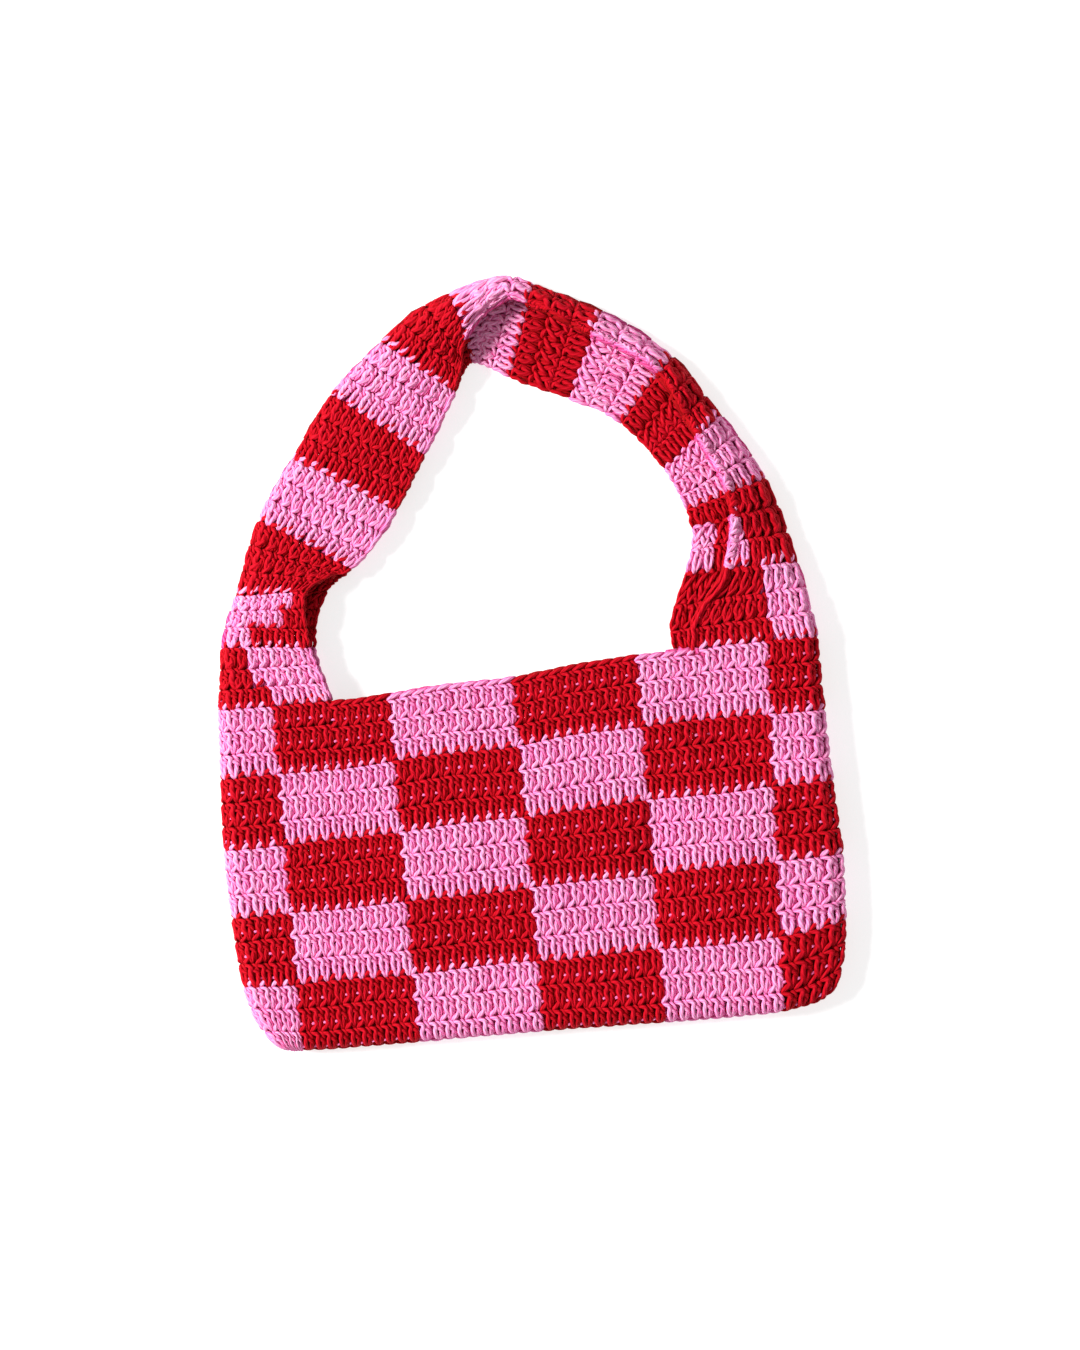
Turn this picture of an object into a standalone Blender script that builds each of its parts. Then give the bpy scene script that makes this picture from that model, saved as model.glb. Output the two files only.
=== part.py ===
"""Crochet shoulder bag: a pouch worked in the round and a strap folded lengthwise, lying on its back."""

import math

import bmesh
import bpy
import numpy as np

# Driving sizes, in metres. +X is the bag's right, +Y runs from the base to the strap's crest.
BAG_WIDTH = 0.2775
POUCH_HEIGHT = 0.1606
STRAP_RISE = 0.1822
WALL = 0.0036
CAVITY_DEPTH = 0.0085
BASE_REACH = 0.0050
STRAP_LAYER_GAP = 0.0010
STRAP_FOLD_REACH = 0.0062
STRAP_LIFT = 0.0105
STRAP_PUCKER = 0.0009
RIM_SAG = 0.0026
DENT_DEPTH = 0.0032
JOIN_GAP = 0.0003

# Counts of the crochet work.
CHECK_ROWS = 5
ROUNDS_PER_CHECK = 3
FRONT_SPAN = 5
STRAP_BLOCKS = 14

# Grid lines of the lofts.
FOLD_STEPS = 4
CHECK_STEPS = 6
BASE_STEPS = 3
STRAP_FLAT_STEPS = 6

# Colours, linear.
RED = (0.50, 0.002, 0.010, 1.0)
PINK = (0.85, 0.28, 0.62, 1.0)
YARN_ROUGHNESS = 0.85

# The turned stretch of a side half check and of a bottom check row.
SIDE_FOLD = {"of_stitches": 0.40, "of_width": 0.30}
BASE_EDGE = {"of_rounds": 0.26}

# Pouch outline at each check row line, from the base up, as shares of half the width.
SIDE_LINES = (
    {"row": 0.0, "left": -0.846, "right": 0.905},
    {"row": 0.2, "left": -0.893, "right": 0.948},
    {"row": 0.5, "left": -0.943, "right": 0.976},
    {"row": 1.0, "left": -0.975, "right": 0.990},
    {"row": 2.0, "left": -0.993, "right": 1.000},
    {"row": 3.0, "left": -1.000, "right": 0.989},
    {"row": 4.0, "left": -0.990, "right": 0.982},
    {"row": 5.0, "left": -0.979, "right": 0.978},
)

# Height of each check row line at the two side folds, as shares of the pouch's height.
ROW_LINES = (
    {"row": 0, "left": 0.022, "right": 0.003},
    {"row": 1, "left": 0.206, "right": 0.217},
    {"row": 2, "left": 0.400, "right": 0.435},
    {"row": 3, "left": 0.592, "right": 0.640},
    {"row": 4, "left": 0.791, "right": 0.842},
    {"row": 5, "left": 0.984, "right": 1.042},
)

# Lines between the checks, as shares of half the width at the base and at the rim.
COLUMN_LINES = (
    {"check": 0.5, "base": -0.812, "rim": -0.812},
    {"check": 1.5, "base": -0.430, "rim": -0.431},
    {"check": 2.5, "base": -0.020, "rim": -0.020},
    {"check": 3.5, "base": 0.380, "rim": 0.388},
    {"check": 4.5, "base": 0.765, "rim": 0.820},
)

# How far the rim hangs below a straight line between its ends, as shares of RIM_SAG. Places
# across here and below are shares of half the width.
RIM_LINE = (
    {"across": -1.00, "drop": 0.0},
    {"across": -0.62, "drop": 0.6},
    {"across": -0.45, "drop": 0.5},
    {"across": -0.26, "drop": -0.1},
    {"across": -0.03, "drop": 0.3},
    {"across": 0.20, "drop": -0.8},
    {"across": 0.56, "drop": -0.9},
    {"across": 1.00, "drop": 0.0},
)

# How far the base's corners rise from a straight line, as shares of the pouch's height.
BASE_LINE = (
    {"across": -1.00, "rise": 0.012},
    {"across": -0.80, "rise": -0.004},
    {"across": 0.00, "rise": 0.000},
    {"across": 0.72, "rise": 0.001},
    {"across": 0.88, "rise": 0.022},
    {"across": 1.00, "rise": 0.072},
)

# Dents (+) and soft ridges (-) of the front. Places and reaches are shares of half the width
# (across) and of the pouch's height (up); depth is a share of DENT_DEPTH and turn is in degrees.
FRONT_DENTS = (
    {"across": 0.390, "up": 0.48, "long": 0.24, "wide": 0.050, "turn": 84, "depth": 0.95},
    {"across": 0.660, "up": 0.78, "long": 0.20, "wide": 0.060, "turn": -42, "depth": 0.90},
    {"across": 0.930, "up": 0.10, "long": 0.15, "wide": 0.100, "turn": 60, "depth": 0.95},
    {"across": 0.800, "up": 0.13, "long": 0.16, "wide": 0.045, "turn": 68, "depth": -0.60},
    {"across": -0.250, "up": 0.45, "long": 0.50, "wide": 0.200, "turn": 4, "depth": -0.45},
    {"across": 0.620, "up": 0.42, "long": 0.25, "wide": 0.090, "turn": 80, "depth": -0.45},
    {"across": -0.620, "up": 0.80, "long": 0.25, "wide": 0.080, "turn": 12, "depth": 0.35},
    {"across": 0.100, "up": 0.85, "long": 0.30, "wide": 0.060, "turn": 3, "depth": 0.30},
)

# Strap sections from its left base over the crest to its right base, block counting the stripes.
# Outer (folded) and inner edges are shares of half the width and of STRAP_RISE above the pouch.
# reach is how far the upper layer covers the lower one, lift and crown are shares of STRAP_LIFT.
STRAP_COLUMNS = ("block", "outer_x", "outer_y", "inner_x", "inner_y", "reach", "lift", "crown")
STRAP_ROWS = (
    ( 0.0, -0.979, -0.006, -0.624, -0.003, 1.00, 0.00, 0.00),
    ( 0.5, -0.966,  0.062, -0.655,  0.062, 1.00, 0.05, 0.05),
    ( 1.0, -0.951,  0.141, -0.672,  0.124, 0.97, 0.20, 0.10),
    ( 1.5, -0.926,  0.210, -0.657,  0.192, 0.90, 0.55, 0.15),
    ( 2.0, -0.895,  0.262, -0.617,  0.260, 0.80, 0.70, 0.15),
    ( 2.5, -0.851,  0.355, -0.577,  0.287, 0.92, 0.35, 0.15),
    ( 3.0, -0.799,  0.443, -0.529,  0.312, 1.00, 0.10, 0.10),
    ( 3.5, -0.739,  0.520, -0.447,  0.366, 1.00, 0.05, 0.10),
    ( 4.0, -0.672,  0.588, -0.364,  0.445, 1.00, 0.05, 0.15),
    ( 5.0, -0.528,  0.737, -0.255,  0.576, 1.00, 0.05, 0.15),
    ( 6.0, -0.352,  0.855, -0.138,  0.725, 1.00, 0.10, 0.25),
    ( 6.5, -0.240,  0.920, -0.096,  0.780, 0.96, 0.25, 0.40),
    ( 7.0, -0.115,  0.960, -0.066,  0.802, 0.74, 0.50, 0.55),
    ( 7.5,  0.062,  0.990, -0.015,  0.793, 0.26, 0.60, 0.50),
    ( 8.0,  0.160,  0.964,  0.064,  0.756, 0.20, 0.60, 0.45),
    ( 9.0,  0.374,  0.883,  0.255,  0.690, 0.28, 0.75, 0.35),
    ( 9.5,  0.486,  0.826,  0.345,  0.655, 0.26, 0.80, 0.30),
    (10.0,  0.590,  0.757,  0.420,  0.617, 0.27, 0.85, 0.30),
    (11.0,  0.732,  0.602,  0.548,  0.493, 0.44, 0.95, 0.30),
    (12.0,  0.858,  0.438,  0.609,  0.384, 0.50, 1.00, 0.30),
    (12.5,  0.904,  0.335,  0.620,  0.310, 0.60, 0.85, 0.25),
    (13.0,  0.935,  0.226,  0.578,  0.224, 0.66, 0.60, 0.20),
    (13.5,  0.961,  0.132,  0.510,  0.110, 0.82, 0.30, 0.10),
    (14.0,  0.978,  0.040,  0.505,  0.037, 0.87, 0.00, 0.00),
)
STRAP_SECTIONS = [dict(zip(STRAP_COLUMNS, row)) for row in STRAP_ROWS]

# Checks of the rim that each end of the strap covers, from the side fold.
STRAP_BASES = (
    {"at": 0, "fold": 0, "front": 1.00, "back": 1.00},
    {"at": STRAP_BLOCKS, "fold": FRONT_SPAN, "front": 1.08, "back": 1.18},
)
BASE_BLEND_BLOCKS = 1.6
END_LEVEL_BLOCKS = 1.2
DENTS_FADE_FROM = 4.0
DENTS_FADE_OVER = 0.8
# Waves of the strap's upper layer along one stripe.
PUCKERS_PER_BLOCK = 1.5

# Heights of the mid surfaces that the sizes give.
BACK_LEVEL = WALL / 2
FRONT_LEVEL = BACK_LEVEL + CAVITY_DEPTH + WALL
FOLD_LEVEL = (BACK_LEVEL + FRONT_LEVEL) / 2
STRAP_TOP_LEVEL = BACK_LEVEL + WALL + STRAP_LAYER_GAP
STRAP_FOLD_LEVEL = (BACK_LEVEL + STRAP_TOP_LEVEL) / 2
HALF_WIDTH = (BAG_WIDTH - WALL) / 2


def line_through(table, key, column, at):
    """Value of a table's column at a place between its rows, by straight lines."""
    return float(np.interp(at, [row[key] for row in table], [row[column] for row in table]))


def curve_through(table, key, column, at):
    """Value of a table's column at a place between its rows, by a smooth curve through them."""
    places = [row[key] for row in table]
    values = [row[column] for row in table]
    last = len(places) - 2
    index = min(max(int(np.searchsorted(places, at, side="right")) - 1, 0), last)

    def slope(row):
        before = max(row - 1, 0)
        after = min(row + 1, len(places) - 1)
        return (values[after] - values[before]) / (places[after] - places[before])

    span = places[index + 1] - places[index]
    share = (at - places[index]) / span
    rise = 3 * share**2 - 2 * share**3
    lead_out = share**3 - 2 * share**2 + share
    lead_in = share**3 - share**2
    ends = values[index] * (1 - rise) + values[index + 1] * rise
    return ends + span * (slope(index) * lead_out + slope(index + 1) * lead_in)


def ease(share):
    """A share from 0 to 1 with level ends."""
    share = min(max(share, 0.0), 1.0)
    return share * share * (3 - 2 * share)


def turned(place, stitches_share, width_share):
    """Way across and height share of a wall that starts on edge and turns flat."""
    if place >= stitches_share:
        flat = (place - stitches_share) / (1 - stitches_share)
        return width_share + (1 - width_share) * flat, 1.0
    angle = math.pi / 2 * place / stitches_share
    return width_share * (1 - math.cos(angle)), math.sin(angle)


def pouch_across(check, row):
    """Place across the pouch, in metres, and height share of the side fold."""
    left = curve_through(SIDE_LINES, "row", "left", row)
    right = curve_through(SIDE_LINES, "row", "right", row)
    up = row / CHECK_ROWS
    lines = [line["base"] * (1 - up) + line["rim"] * up for line in COLUMN_LINES]
    first, last = COLUMN_LINES[0]["check"], COLUMN_LINES[-1]["check"]
    height = 1.0
    if check < first:
        way, height = turned(check / first, SIDE_FOLD["of_stitches"], SIDE_FOLD["of_width"])
        across = left + (lines[0] - left) * way
    elif check > last:
        side = (FRONT_SPAN - check) / (FRONT_SPAN - last)
        way, height = turned(side, SIDE_FOLD["of_stitches"], SIDE_FOLD["of_width"])
        across = right + (lines[-1] - right) * way
    else:
        across = float(np.interp(check, [line["check"] for line in COLUMN_LINES], lines))
    return across * HALF_WIDTH, height


def pouch_up(across, row):
    """Place up the pouch, in metres, and height share of the base edge."""
    side = (across / HALF_WIDTH + 1) / 2

    def line(number):
        low = line_through(ROW_LINES, "row", "left", number)
        high = line_through(ROW_LINES, "row", "right", number)
        drop = curve_through(RIM_LINE, "across", "drop", across / HALF_WIDTH)
        sag = RIM_SAG * drop * ease(number / CHECK_ROWS) ** 3
        rise = curve_through(BASE_LINE, "across", "rise", across / HALF_WIDTH) * (1 - ease(number / 2))
        return (low * (1 - side) + high * side + rise) * POUCH_HEIGHT - sag

    if row >= 1:
        return line(row), 1.0
    base, first = line(0), line(1)
    way, height = turned(row, BASE_EDGE["of_rounds"], BASE_REACH / (first - base))
    return base + WALL / 2 + (first - base - WALL / 2) * way, height


def dent_at(across, up):
    """Depth of the front's dents at a place, in metres."""
    depth = 0.0
    for dent in FRONT_DENTS:
        turn = math.radians(dent["turn"])
        away_x = across - dent["across"] * HALF_WIDTH
        away_y = up - dent["up"] * POUCH_HEIGHT
        along = (away_x * math.cos(turn) + away_y * math.sin(turn)) / (dent["long"] * HALF_WIDTH)
        aside = (away_y * math.cos(turn) - away_x * math.sin(turn)) / (dent["wide"] * HALF_WIDTH)
        depth += dent["depth"] * DENT_DEPTH * math.exp(-along**2 - aside**2)
    return depth


def pouch_point(check, row, front):
    """Point of the pouch's mid surface, check counted from the left fold and row from the base."""
    across, fold = pouch_across(check, row)
    up, edge = pouch_up(across, row)
    if front:
        level = FRONT_LEVEL - dent_at(across, up) * (1 - ease((row - DENTS_FADE_FROM) / DENTS_FADE_OVER))
    else:
        level = BACK_LEVEL
    return across, up, FOLD_LEVEL + (level - FOLD_LEVEL) * fold * edge


def strap_value(column, block):
    """A strap section's value at a place along it."""
    return curve_through(STRAP_SECTIONS, "block", column, block)


def free_strap_point(block, side):
    """Point of the strap's mid surface, side from -1 (upper edge) over 0 (fold) to 1 (lower edge)."""
    scale = np.array((HALF_WIDTH, STRAP_RISE))
    outer = np.array((strap_value("outer_x", block), strap_value("outer_y", block))) * scale
    inner = np.array((strap_value("inner_x", block), strap_value("inner_y", block))) * scale
    width = float(np.linalg.norm(inner - outer))
    reach = strap_value("reach", block) if side < 0 else 1.0
    fold_share = min(STRAP_FOLD_REACH / (width * reach), 0.7)
    way, height = turned(abs(side), 0.8 * fold_share + 0.08, fold_share)
    place = outer + (inner - outer) * way * reach
    level = BACK_LEVEL
    if side < 0:
        level_ends = ease(min(block, STRAP_BLOCKS - block) / END_LEVEL_BLOCKS)
        lift = strap_value("lift", block) * abs(side) ** 1.5
        crown = strap_value("crown", block) * math.sin(math.pi * min(abs(side) * 1.1, 1.0))
        wave = 1 + math.sin(2 * math.pi * PUCKERS_PER_BLOCK * block + 2.0 * side) * abs(side)
        level = STRAP_TOP_LEVEL + (STRAP_LIFT * (lift + crown) + STRAP_PUCKER * wave) * level_ends
    up = POUCH_HEIGHT + place[1]
    return np.array((place[0], up, STRAP_FOLD_LEVEL + (level - STRAP_FOLD_LEVEL) * height))


def rim_point(side, base):
    """Point of the pouch's rim that one end of the strap meets."""
    check = abs(abs(side) * base["front" if side < 0 else "back"] - base["fold"])
    return np.array(pouch_point(check, CHECK_ROWS, side < 0)) + np.array((0, JOIN_GAP, 0))


def strap_point(block, side):
    """Point of the strap's mid surface, led into the pouch's rim at both ends."""
    point = free_strap_point(block, side)
    for base in STRAP_BASES:
        near = 1 - ease(abs(block - base["at"]) / BASE_BLEND_BLOCKS)
        if near > 0:
            point = point + (rim_point(side, base) - free_strap_point(base["at"], side)) * near
    return tuple(point)


def steps(start, stop, count):
    """Evenly spaced places after start, up to and with stop."""
    return [start + (stop - start) * (number + 1) / count for number in range(count)]


def pouch_checks():
    """Grid lines across the front, from the left fold to the right one."""
    turn = COLUMN_LINES[0]["check"] * SIDE_FOLD["of_stitches"]
    first, last = COLUMN_LINES[0]["check"], COLUMN_LINES[-1]["check"]
    lines = [0.0] + steps(0, turn, FOLD_STEPS) + steps(turn, first, 2)
    for number in range(FRONT_SPAN - 1):
        lines += steps(first + number, first + number + 1, CHECK_STEPS)
    return lines + steps(last, FRONT_SPAN - turn, 2) + steps(FRONT_SPAN - turn, FRONT_SPAN, FOLD_STEPS)


def pouch_rows():
    """Grid lines up the pouch: the turned base edge, then one line a round."""
    turn = BASE_EDGE["of_rounds"]
    lines = [0.0] + steps(0, turn, BASE_STEPS) + steps(turn, 1, ROUNDS_PER_CHECK - 1)
    return lines + steps(1, CHECK_ROWS, (CHECK_ROWS - 1) * ROUNDS_PER_CHECK)


def pouch_is_pink(check, row):
    """Colour of a check, the same behind as in front."""
    column = math.floor(check + 0.5)
    return (column + CHECK_ROWS - 1 - math.floor(row)) % 2 == 0


def strap_is_pink(block, side):
    """Colour of a stripe, with the checks of the pouch carried on in the two blocks at each base."""
    number = math.floor(block)
    at_base = number < 2 or number >= STRAP_BLOCKS - 2
    swapped = at_base and abs(side) > 0.5
    return (number % 2 == 1) != swapped


def yarn_material(name, colour):
    """Matt cotton of one colour."""
    material = bpy.data.materials.new(name)
    material.use_nodes = True
    shader = material.node_tree.nodes["Principled BSDF"]
    shader.inputs["Base Color"].default_value = colour
    shader.inputs["Roughness"].default_value = YARN_ROUGHNESS
    shader.inputs["Metallic"].default_value = 0.0
    material.diffuse_color = colour
    return material


def shell(name, mesh_builder, materials, collection):
    """An object with a wall of even thickness on both sides of its mid surface."""
    mesh = bpy.data.meshes.new(name)
    for material in materials:
        mesh.materials.append(material)
    mesh_builder.normal_update()
    mesh_builder.to_mesh(mesh)
    mesh_builder.free()
    mesh.shade_smooth()
    piece = bpy.data.objects.new(name, mesh)
    collection.objects.link(piece)
    wall = piece.modifiers.new("wall", "SOLIDIFY")
    wall.thickness = WALL
    wall.offset = 0.0
    wall.use_even_offset = False
    return piece


def build_pouch(materials, collection):
    """The pouch: front and back walls that share their side folds and their base edge."""
    checks, rows = pouch_checks(), pouch_rows()
    work = bmesh.new()
    walls = {}
    for front in (True, False):
        for i, check in enumerate(checks):
            for j, row in enumerate(rows):
                shared = i in (0, len(checks) - 1) or j == 0
                if shared and not front:
                    walls[front, i, j] = walls[True, i, j]
                else:
                    walls[front, i, j] = work.verts.new(pouch_point(check, row, front))
    for front in (True, False):
        for i in range(len(checks) - 1):
            for j in range(len(rows) - 1):
                corners = [walls[front, i, j], walls[front, i + 1, j]]
                corners += [walls[front, i + 1, j + 1], walls[front, i, j + 1]]
                face = work.faces.new(corners if front else corners[::-1])
                middle = (checks[i] + checks[i + 1]) / 2, (rows[j] + rows[j + 1]) / 2
                face.material_index = int(pouch_is_pink(*middle))
                face.smooth = True
    return shell("pouch", work, materials, collection)


def build_strap(materials, collection):
    """The strap: one band, folded along its outer edge, from rim to rim."""
    turn = steps(0, 0.24, FOLD_STEPS)
    flat = steps(0.24, 0.5, 2) + steps(0.5, 1, STRAP_FLAT_STEPS - 2)
    half = turn + flat
    sides = [-side for side in reversed(half)] + [0.0] + half
    blocks = [0.0] + steps(0, STRAP_BLOCKS, STRAP_BLOCKS * ROUNDS_PER_CHECK)
    work = bmesh.new()
    grid = [[work.verts.new(strap_point(block, side)) for side in sides] for block in blocks]
    for j in range(len(blocks) - 1):
        for i in range(len(sides) - 1):
            face = work.faces.new((grid[j][i], grid[j + 1][i], grid[j + 1][i + 1], grid[j][i + 1]))
            middle = (blocks[j] + blocks[j + 1]) / 2, (sides[i] + sides[i + 1]) / 2
            face.material_index = int(strap_is_pink(*middle))
            face.smooth = True
    return shell("strap", work, materials, collection)


def clear_scene():
    """Removes whatever the scene starts with."""
    for item in list(bpy.data.objects):
        bpy.data.objects.remove(item, do_unlink=True)


def centre_over_origin(pieces):
    """Moves the pieces so that the origin lies under the middle of their common box."""
    bpy.context.view_layer.update()
    graph = bpy.context.evaluated_depsgraph_get()
    corners = np.array([corner for piece in pieces for corner in piece.evaluated_get(graph).bound_box])
    middle = (corners.min(axis=0) + corners.max(axis=0)) / 2
    for piece in pieces:
        piece.location = (-middle[0], -middle[1], 0.0)


def main():
    """Builds the bag in its own collection."""
    clear_scene()
    collection = bpy.data.collections.new("crochet bag")
    bpy.context.scene.collection.children.link(collection)
    materials = (yarn_material("red cotton yarn", RED), yarn_material("pink cotton yarn", PINK))
    centre_over_origin([build_pouch(materials, collection), build_strap(materials, collection)])


main()
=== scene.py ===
"""Looks of a crochet shoulder bag: each stitch of its pouch and strap is looped cotton yarn."""

import logging
import math
from dataclasses import dataclass, field
from enum import Enum

import bpy
import numpy as np
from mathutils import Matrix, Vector


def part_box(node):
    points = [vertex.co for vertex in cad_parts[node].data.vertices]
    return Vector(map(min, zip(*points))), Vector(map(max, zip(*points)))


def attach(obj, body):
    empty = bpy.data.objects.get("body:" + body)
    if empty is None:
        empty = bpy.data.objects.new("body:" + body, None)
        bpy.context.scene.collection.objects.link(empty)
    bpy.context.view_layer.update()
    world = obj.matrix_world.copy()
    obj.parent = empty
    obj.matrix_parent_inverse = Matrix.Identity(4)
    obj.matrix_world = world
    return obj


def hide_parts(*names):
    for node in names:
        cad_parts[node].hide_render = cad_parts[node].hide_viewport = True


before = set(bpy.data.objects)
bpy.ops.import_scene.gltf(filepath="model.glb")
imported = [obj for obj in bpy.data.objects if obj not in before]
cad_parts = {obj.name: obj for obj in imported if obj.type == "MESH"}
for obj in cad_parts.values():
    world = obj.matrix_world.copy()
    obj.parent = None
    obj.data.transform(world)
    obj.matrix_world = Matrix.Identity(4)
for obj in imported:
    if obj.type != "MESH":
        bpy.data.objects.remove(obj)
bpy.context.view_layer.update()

MM = 0.001
TINY = 1e-12
BODY = "root"
SEED = 3168
LEFT_BASE = 1.00
RIGHT_BASE_FRONT = 1.08
RIGHT_BASE_BACK = 1.18
"""Checks of the rim that the strap's bases take up."""

NOISE_RANGE = (0.3, 0.7)
"""Where most values of a noise texture lie."""

log = logging.getLogger("crochet bag")


def linear_colour(hex_colour: str) -> tuple[float, float, float, float]:
    """Turns an sRGB hex colour to linear.

    Args:
        hex_colour: six hex digits after a hash sign.

    Returns:
        Red, green, blue and alpha, linear.
    """
    shares = [int(hex_colour[place:place + 2], 16) / 255 for place in (1, 3, 5)]
    lin = [s / 12.92 if s <= 0.04045 else ((s + 0.055) / 1.055) ** 2.4 for s in shares]
    return lin[0], lin[1], lin[2], 1.0


def ease(share: np.ndarray) -> np.ndarray:
    """A share from 0 to 1 with level ends."""
    share = np.clip(share, 0.0, 1.0)
    return share * share * (3 - 2 * share)


def turned(place: np.ndarray, of_place: np.ndarray, of_way: np.ndarray) -> tuple[np.ndarray, np.ndarray]:
    """Follows a wall that starts on edge and turns flat.

    Args:
        place: share of the fabric's length from the edge.
        of_place: share of the fabric that is still turning.
        of_way: share of the way that the turning part takes up.

    Returns:
        The share of the way across and the height share.
    """
    flat = of_way + (1 - of_way) * (place - of_place) / (1 - of_place)
    angle = math.pi / 2 * np.clip(place / of_place, 0, 1)
    turning = place < of_place
    return np.where(turning, of_way * (1 - np.cos(angle)), flat), np.where(turning, np.sin(angle), 1.0)


@dataclass(frozen=True)
class Sections:
    """A short table of sections with named columns, the first of which is the place."""

    names: tuple[str, ...]
    rows: tuple[tuple[float, ...], ...]

    def column(self, name: str) -> np.ndarray:
        """All values of one column."""
        return np.array([row[self.names.index(name)] for row in self.rows])

    def line(self, name: str, at: np.ndarray) -> np.ndarray:
        """Values between the rows, by straight lines."""
        return np.interp(at, self.column(self.names[0]), self.column(name))

    def curve(self, name: str, at: np.ndarray) -> np.ndarray:
        """Values between the rows, by a smooth curve through them.

        Args:
            name: the column.
            at: places along the first column.

        Returns:
            One value for each place.
        """
        places, values = self.column(self.names[0]), self.column(name)
        count = len(places)
        before = np.maximum(np.arange(count) - 1, 0)
        after = np.minimum(np.arange(count) + 1, count - 1)
        slopes = (values[after] - values[before]) / (places[after] - places[before])
        index = np.clip(np.searchsorted(places, at, side="right") - 1, 0, count - 2)
        span = places[index + 1] - places[index]
        share = (at - places[index]) / span
        rise = 3 * share**2 - 2 * share**3
        ends = values[index] * (1 - rise) + values[index + 1] * rise
        leads = slopes[index] * (share**3 - 2 * share**2 + share) + slopes[index + 1] * (share**3 - share**2)
        return ends + span * leads


@dataclass
class Fabric:
    """A bent sheet of crochet, on which stitches are laid by two places and a height."""

    across_step: float = 0.02
    along_step: float = 0.02
    outward: float = 1.0
    floor_clearance: float = 0.00005

    def place(self, across: np.ndarray, along: np.ndarray) -> np.ndarray:
        """Points of the mid surface; each fabric has its own."""
        raise NotImplementedError

    def lay(self, across: np.ndarray, along: np.ndarray, height: np.ndarray) -> np.ndarray:
        """Points above the mid surface.

        Args:
            across: places across the fabric.
            along: places along it.
            height: metres out of its right side.

        Returns:
            World positions, none of them under the floor.
        """
        step, rise = self.across_step, self.along_step
        sideways = self.place(across + step, along) - self.place(across - step, along)
        upwards = self.place(across, along + rise) - self.place(across, along - rise)
        out = np.cross(sideways, upwards)
        out /= np.maximum(np.linalg.norm(out, axis=-1, keepdims=True), TINY)
        points = self.place(across, along) + out * (self.outward * height)[..., None]
        points[..., 2] = np.maximum(points[..., 2], self.floor_clearance)
        return points


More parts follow.
